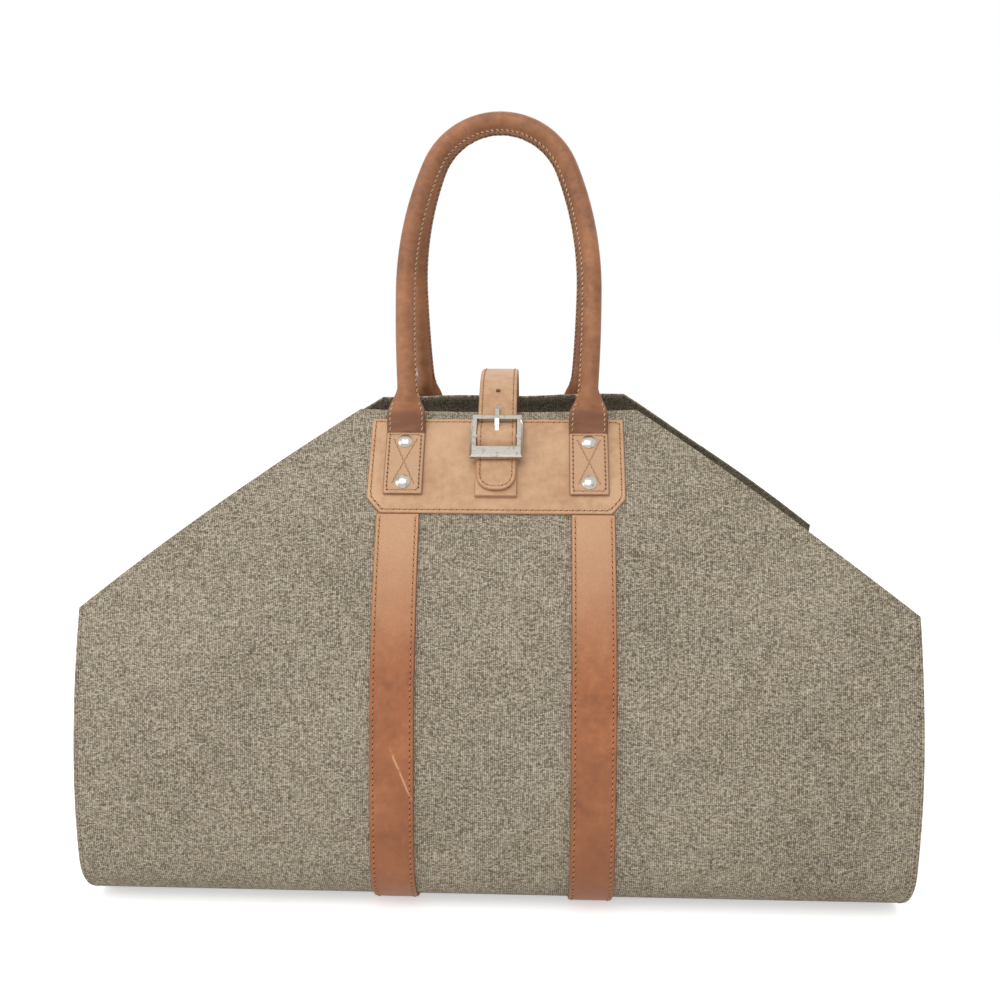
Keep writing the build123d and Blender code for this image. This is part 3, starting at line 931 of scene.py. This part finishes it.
def handle_piece(name, side):
    """The skin of one handle with its two tabs, and the stations its seams are sewn on."""
    stations = handle_stations(side)
    middle = stations[len(stations) // 2][3]
    points, flats, rims = [], [], []
    end_rows = {0: 0.35, 1: 0.8, 2: 0.96}
    for i, station in enumerate(stations):
        shrink = end_rows.get(min(i, len(stations) - 1 - i), 1.0)
        for angle in ring_angles:
            point, outside, face, travel, up = station
            across, out = section(angle, up, travel - middle)
            fold = step(up, 0, 1.5 * mm) * (1 - step(up, 8 * mm, 13 * mm))
            if out > 0:
                out = out + 0.30 * mm * fold * math.sin(up / (0.55 * mm) + across / (7 * mm))
            narrow = 1 - 0.06 * (1 - shrink)
            points.append(point + outside * across * narrow + face * out * shrink)
            turn = angle * max(tube_radius, abs(across))
            flats.append((across if up <= 0 else turn, travel, up))
            near_edge = tab_half - abs(across) if up < flare_length * 0.5 else 0.02
            rims.append(min(near_edge, tab_bottom - tab_top + up + 0.2 * mm))
    ring = len(ring_angles)
    faces = []
    for i in range(len(stations) - 1):
        for k in range(ring):
            a, b = i * ring + k, i * ring + (k + 1) % ring
            faces.append([a, b, b + ring, a + ring])
    faces.append(list(reversed(range(ring))))
    faces.append([(len(stations) - 1) * ring + k for k in range(ring)])
    leather = make_object(f"{name}_handle_leather", points, faces, [handle_leather], sharp=60)
    carry(leather.data, "flat", flats)
    carry(leather.data, "rim", rims)
    face_outwards(leather.data)
    wall_end, free_start = handle_root(side)
    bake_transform(leather)
    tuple(free_start)
    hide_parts(f"{name}_handle_cover", f"{name}_left_tab", f"{name}_right_tab")
    print(leather.name, len(leather.data.polygons), "faces")
    return leather, stations


handle_rows = {}
for name, side in sides.items():
    leather, handle_rows[name] = handle_piece(name, side)

# %% [markdown]
# ## The closing strap
# A single strap is sewn to the back patch, arches over the mouth and comes down through the
# buckle on the front. Its side view is a route of straight runs and round bends, and the
# strap is the same sheet as before, placed along that route.


# %% Routes in side view
def rounded(points, radii):
    """Points along a route, with each corner replaced by an arc of the given radius."""
    route = [Vector(points[0])]
    for before, corner, after, radius in zip(points, points[1:], points[2:], radii):
        a, b, c = Vector(before), Vector(corner), Vector(after)
        into, away = (b - a).normalized(), (c - b).normalized()
        turn = into.angle_signed(away)
        if abs(turn) < 0.02 or radius == 0:
            route.append(b)
            continue
        reach = radius * math.tan(abs(turn) / 2)
        begin, end = b - into * reach, b + away * reach
        count = max(3, round(abs(turn) * radius / (1.5 * mm)))
        for i in range(count + 1):
            t = i / count
            first, second = begin.lerp(b, t), b.lerp(end, t)
            route.append(first.lerp(second, t))
    route.append(Vector(points[-1]))
    return route


class Route:
    """A line in side view that a strap follows, measured by its length."""

    def __init__(self, points):
        self.points = points
        self.marks = [0.0]
        for a, b in zip(points, points[1:]):
            self.marks.append(self.marks[-1] + (b - a).length)
        self.length = self.marks[-1]

    def at(self, travel):
        travel = min(max(travel, 0.0), self.length)
        i = int(np.searchsorted(self.marks, travel, side="right")) - 1
        i = min(max(i, 0), len(self.points) - 2)
        run = self.marks[i + 1] - self.marks[i]
        return self.points[i].lerp(self.points[i + 1], (travel - self.marks[i]) / max(run, 1e-9))

    def place(self, x, travel, out):
        """A point beside the route: out is towards the outside of the bag."""
        here = self.at(travel)
        along = (self.at(travel + 0.8 * mm) - self.at(travel - 0.8 * mm)).normalized()
        return Vector((x, here.x + along.y * out, here.y - along.x * out))

    def nearest(self, point):
        """How far along the route a point lies."""
        tries = np.linspace(0, self.length, 2000)
        return min(tries, key=lambda travel: (self.at(travel) - Vector(point)).length)


buckle_drop = 26.5 * mm
bar_radius = 1.8 * mm
chape_thickness = 1.6 * mm
loop_fit = 0.1 * mm
bar_out = patch_thickness + chape_thickness + loop_fit + bar_radius
closing_thickness = 2.2 * mm
closing_half = 13.5 * mm
bar_y, bar_z = profile(buckle_drop, bar_out)
bar_angle = lean - buckle_drop / side_radius


def by_buckle(down, out):
    """(y, z) on the front of a point given down the cloth and out from the centre bar."""
    y = bar_y + down * math.sin(bar_angle) + out * math.cos(bar_angle)
    return -y, bar_z - down * math.cos(bar_angle) + out * math.sin(bar_angle)


def front_point(down, out):
    """(y, z) on the front: down from the centre bar along the cloth."""
    y, z = profile(buckle_drop + down, out)
    return -y, z


def closing_route():
    half = closing_thickness / 2
    lie = patch_thickness + half
    clear = lie + 0.3 * mm
    over = bar_radius + loop_fit + chape_thickness + 0.3 * mm + half
    under = clear + 2 * chape_thickness
    crown = mouth_height + 24 * mm - half
    base = [profile(d * mm, lie) for d in (64, 56, 48, 40, 32, 24, 16)]
    start, edge = profile(11.85 * mm, clear), profile(0, clear)
    turn_y = edge[0] + (crown - edge[1]) * (edge[0] - start[0]) / (edge[1] - start[1])
    window = 11.8 * mm
    corners = [
        start, (turn_y, crown), (-turn_y, crown), by_buckle(-window + 0.3 * mm, clear - bar_out),
        by_buckle(-3 * mm, over), by_buckle(4 * mm, over), front_point(window - 1.5 * mm, under),
        front_point(40.5 * mm, under + 0.5 * mm),
    ]
    bends = [0] * 6 + [20 * mm, 60 * mm, 60 * mm, 6 * mm, 3.5 * mm, 4 * mm, 8 * mm]
    return Route(rounded(base + corners, bends))


closing = closing_route()
print("the closing strap is", round(closing.length, 3), "m long")


# %% Closing strap
tip_corner = 11.3 * mm


def closing_half_width(travel):
    """The tip is rounded, and the sewn end is square."""
    left = closing.length - travel
    if left >= tip_corner:
        return closing_half
    across = math.sqrt(max(0.0, tip_corner**2 - (tip_corner - left) ** 2))
    return closing_half - tip_corner + across


slot_travel = closing.nearest(by_buckle(-5.2 * mm, 0.004))
hole_radius = 2.0 * mm
tip_rows = [closing.length - v * mm for v in (0, 0.15, 0.5, 1.1, 2, 3.2, 4.6, 6.3, 8.4, 11.3)]
closing_rows = leather_rims + tip_rows
holes = [(0.0, slot_travel, 1.8 * mm, hole_radius)]
for number in (1, 2):
    holes.append((0.0, slot_travel - number * 18.5 * mm, 0.0, hole_radius))
busy = []
for x0, middle, reach, radius in holes:
    ends = [middle - reach - radius, middle + reach + radius]
    closing_rows += ends + [middle - reach - 0.41 * radius, middle + reach + 0.41 * radius]
    busy.append((ends[0] - 1 * mm, ends[1] + 1 * mm))
count = round(closing.length / (1.6 * mm))
for i in range(3, count - 7):
    travel = closing.length * i / count
    if not any(low < travel < high for low, high in busy):
        closing_rows.append(travel)
closing_rows = sorted(set(closing_rows))
hole_columns = [-hole_radius, -0.41 * hole_radius, 0.41 * hole_radius, hole_radius]
closing_columns = sorted(
    spaced(-closing_half, -2.1 * mm, 3 * mm, leather_rims)[:-7]
    + hole_columns
    + spaced(2.1 * mm, closing_half, 3 * mm, leather_rims)[7:]
)
closing_strap = flat_piece(
    "closing_strap_leather", closing.place, closing_rows, closing_columns, closing_half_width,
    closing_thickness, -closing_thickness / 2, [closing_leather], groove=leather_inset,
    holes=holes,
)
sewn_line = closing.place(0, closing.nearest(profile(14 * mm, patch_thickness)), 0)
free_line = closing.place(0, closing.nearest(profile(9 * mm, patch_thickness)), 0)
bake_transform(closing_strap)
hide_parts("closing_strap", "closing_strap_base")
print(closing_strap.name, len(closing_strap.data.polygons), "faces")

# %% [markdown]
# ## The chape
# The buckle hangs in a short piece of leather that is folded round its centre bar and sewn
# down below it. A slot in the fold lets the prong through.


# %% Chape
def chape_route():
    half = chape_thickness / 2
    loop = bar_radius + loop_fit + half
    low = patch_thickness + half
    high = low + chape_thickness
    lower = [front_point(d * mm, low) for d in (44, 37, 30, 23, 16, 10)]
    around = []
    for i in range(13):
        angle = -math.pi / 2 - math.pi * i / 12
        around.append(by_buckle(loop * math.cos(angle), loop * math.sin(angle)))
    upper = [by_buckle(9.5 * mm, high - bar_out)]
    upper += [front_point(d * mm, high) for d in (13, 20, 27, 34, 44)]
    return Route([Vector(p) for p in reversed(lower + around + upper)])


chape_line = chape_route()
chape_half = 14.25 * mm
loop_middle = chape_line.nearest(by_buckle(-bar_radius - loop_fit - 0.8 * mm, 0))
slot_half = 2.3 * mm
slot_reach = 4.6 * mm
chape_rows = leather_rims + [chape_line.length - v for v in leather_rims]
for sign in (-1, 1):
    chape_rows += [loop_middle + sign * v for v in (slot_reach, slot_reach + slot_half)]
    chape_rows.append(loop_middle + sign * (slot_reach + 0.41 * slot_half))
steps = round(chape_line.length / (0.9 * mm))
for i in range(4, steps - 3):
    travel = chape_line.length * i / steps
    if abs(abs(travel - loop_middle) - slot_reach - slot_half / 2) > 1.9 * mm:
        chape_rows.append(travel)
chape_rows = sorted(set(chape_rows))
slot_columns = [-slot_half, -0.41 * slot_half, 0.41 * slot_half, slot_half]
chape_columns = sorted(
    spaced(-chape_half, -2.4 * mm, 3 * mm, leather_rims)[:-7]
    + slot_columns
    + spaced(2.4 * mm, chape_half, 3 * mm, leather_rims)[7:]
)


def chape_half_width(travel):
    """A little narrower in the loop, to fit inside the frame."""
    near = 1 - step(abs(travel - loop_middle), 10 * mm, 16 * mm)
    return chape_half - 0.75 * mm * near


chape = flat_piece(
    "chape_leather", chape_line.place, chape_rows, chape_columns, chape_half_width,
    chape_thickness, -chape_thickness / 2, [closing_leather],
    holes=[(0.0, loop_middle, slot_reach, slot_half)],
)
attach(chape, "front_wall")
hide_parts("chape")
print(chape.name, len(chape.data.polygons), "faces")

# %% [markdown]
# ## Seams
# Every edge of the leather is sewn down about 2.6 mm in. The tabs have a box with a cross
# in it, the strongest way to sew a tab, and the canvas has a hem all round.

# %% Seams on the cloth and the patches
thread_sink = 0.18 * mm
leather_thread = [tan_thread, needle_hole_shade]
cloth_thread = [canvas_thread, canvas_hole_shade]
for name, side in sides.items():
    place = on_cloth(side)
    wide, low = patch_half - leather_inset, patch_bottom - leather_inset
    cut = patch_corner_width - leather_inset * 0.4
    high = patch_bottom - patch_corner_height - leather_inset * 0.4
    ring = [(-wide, patch_top + leather_inset), (wide, patch_top + leather_inset), (wide, high)]
    ring += [(wide - cut, low), (cut - wide, low), (-wide, high)]
    seam = sew(
        f"{name}_patch_stitches",
        [flat_run(place, ring, patch_thickness - thread_sink, True)], leather_thread,
    )
    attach(seam, f"{name}_wall")
    runs = []
    for centre in (-strap_centre, strap_centre):
        for hand in (-1, 1):
            x = centre + hand * (strap_half - leather_inset)
            ends = [(x, patch_bottom + 1.5 * mm), (x, strip_half - 1 * mm)]
            runs.append(flat_run(place, ends, strap_thickness - thread_sink))
    seam = sew(f"{name}_strap_stitches", runs, leather_thread)
    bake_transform(seam)
    dip = mouth_edge(side)

    def hemmed(x, down, out, place=place, dip=dip):
        return place(x, down + dip(x, down), out)

    top = mouth_half_width - 1.2 * mm
    wide, high = half_width - cloth_inset, cloth_inset + 0.6 * mm
    edge = [(wide, strip_half - 1 * mm), (wide, slope_length + 1 * mm), (top, high)]
    edge += [(-top, high), (-wide, slope_length + 1 * mm), (-wide, strip_half - 1 * mm)]
    hem_seam = sew(
        f"{name}_hem_stitches", [flat_run(hemmed, edge, -0.20 * mm)], cloth_thread, 3.8 * mm,
        0.34 * mm, 0.6 * mm,
    )
    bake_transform(hem_seam)
    zigzag = []
    steps = 2 * round(mouth_half_width / (1.7 * mm))
    for i in range(steps + 1):
        x = (2 * i / steps - 1) * top
        zigzag.append((x, 0.5 * mm if i % 2 else 3.6 * mm))
    under = -canvas_thickness - hem_layer - 0.1 * mm
    points, normals = flat_run(hemmed, zigzag, under)
    overlock = sew(
        f"{name}_overlock", [(points, [-n for n in normals])], cloth_thread, 1.9 * mm,
        0.36 * mm, 0.3 * mm,
    )
    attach(overlock, f"{name}_wall")
    runs = []
    for centre in (-tab_centre, tab_centre):
        left, right = centre - tab_half + leather_inset, centre + tab_half - leather_inset
        high, low = tab_top + 1.2 * mm, tab_bottom - leather_inset
        box = [(left, high), (right, high), (right, low), (left, low)]
        runs.append(flat_run(place, box, tab_face - 0.05 * mm, True))
        for a, b in ((left, right), (right, left)):
            cross = [(a + (b - a) * 0.14, high + 4 * mm), (a + (b - a) * 0.86, low - 4 * mm)]
            runs.append(flat_run(place, cross, tab_face - 0.05 * mm))
    seam = sew(f"{name}_tab_stitches", runs, leather_thread, 3.3 * mm, 0.4 * mm, 0.6 * mm)
    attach(seam, f"{name}_wall")
    print(name, "seams sewn")

# %% Seams along the handles
for name, side in sides.items():
    stations = handle_rows[name]
    middle = stations[len(stations) // 2][3]
    runs = []
    for angle in (math.pi - 0.13, math.pi + 0.13):
        chain = [row for row in stations if row[4] > 20 * mm]
        points = [handle_point(row, angle, row[3] - middle, 0.1 * mm) for row in chain]
        normals = [row[2] * (1 if angle < math.pi else -1) for row in chain]
        runs.append((points, normals))
    half_count = len(stations) // 2
    for half in (stations[:half_count], stations[half_count:]):
        for angle in (0.60, math.pi - 0.60):
            chain = [row for row in half if 0.5 * mm < row[4] < 19 * mm]
            points = [handle_point(row, angle, 1.0, -0.1 * mm) for row in chain]
            runs.append((points, [row[2] for row in chain]))
    seam = sew(
        f"{name}_handle_stitches", runs, [white_thread, needle_hole_shade], 3.6 * mm, 0.4 * mm, 0.5 * mm
    )
    wall_end, free_start = handle_root(side)
    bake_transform(seam)
    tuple(free_start)
    print(seam.name, len(seam.data.polygons), "faces")

# %% Seams on the closing strap
seam_x = closing_half - leather_inset
tip_turns = [math.pi / 2 * i / 6 for i in range(7)]
arc = [
    (closing_half - tip_corner + (tip_corner - leather_inset) * math.cos(t),
     closing.length - tip_corner + (tip_corner - leather_inset) * math.sin(t))
    for t in tip_turns
]
loop = [(seam_x, leather_inset)] + arc + [(-x, d) for x, d in reversed(arc)]
loop += [(-seam_x, leather_inset)]
closing_seam = sew(
    "closing_strap_stitches",
    [flat_run(closing.place, loop, closing_thickness / 2 - thread_sink, True)],
    leather_thread, 3.4 * mm, 0.38 * mm, 0.55 * mm,
)
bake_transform(closing_seam)
print(closing_seam.name, len(closing_seam.data.polygons), "faces")

# %% [markdown]
# ## Metal that the model already has
# The rivets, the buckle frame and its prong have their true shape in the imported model. They
# keep their mesh and get the nickel finish in their material slots.

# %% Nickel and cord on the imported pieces
metal_nodes = ["buckle_frame", "buckle_prong"]
metal_nodes += [f"{name}_{part}" for name in sides for part in ("rivets", "rivet_backs")]
for node in metal_nodes:
    nodes[node].data.materials.clear()
    nodes[node].data.materials.append(nickel)
for name in sides:
    nodes[f"{name}_handle_cord"].data.materials.clear()
    nodes[f"{name}_handle_cord"].data.materials.append(cord_finish)
print("metal pieces", metal_nodes)

# %% [markdown]
# ## The room
# A pale floor takes the bag's soft shadow. The world is white to the camera and in
# reflections, and a little dimmer as a light, so the colours of the bag stay true.


# %% Floor and world
def room():
    bpy.ops.mesh.primitive_plane_add(size=16, location=(0, 0, 0))
    floor = bpy.context.object
    floor.name = "floor"
    paint = Finish("pale_floor", base_color=(0.86, 0.86, 0.86, 1), roughness=0.9)
    ways = [paint.node("ShaderNodeLightPath", None, None, i) for i in (0, 3, 6)]
    seen = ways[0] + ways[1] + ways[2]
    paint.shader.inputs["Emission Strength"].default_value = 0.50
    paint.paint("Emission Color", paint.blend(seen, (0, 0, 0, 1), (1, 1, 1, 1)))
    floor.data.materials.append(paint.material)
    world = bpy.data.worlds.new("studio")
    bpy.context.scene.world = world
    world.use_nodes = True
    tree = world.node_tree
    background = tree.nodes["Background"]
    path = tree.nodes.new("ShaderNodeLightPath")
    shown = tree.nodes.new("ShaderNodeMath")
    shown.operation = "ADD"
    tree.links.new(path.outputs["Is Camera Ray"], shown.inputs[0])
    tree.links.new(path.outputs["Is Glossy Ray"], shown.inputs[1])
    level = tree.nodes.new("ShaderNodeMapRange")
    level.inputs["To Min"].default_value = 0.60
    level.inputs["To Max"].default_value = 1.0
    tree.links.new(shown.outputs[0], level.inputs["Value"])
    tree.links.new(level.outputs[0], background.inputs["Strength"])
    background.inputs["Color"].default_value = (1, 1, 1, 1)
    return floor


room()
print("the room is ready")

# %% The colour view
view = bpy.context.scene.view_settings
view.view_transform = "Standard"
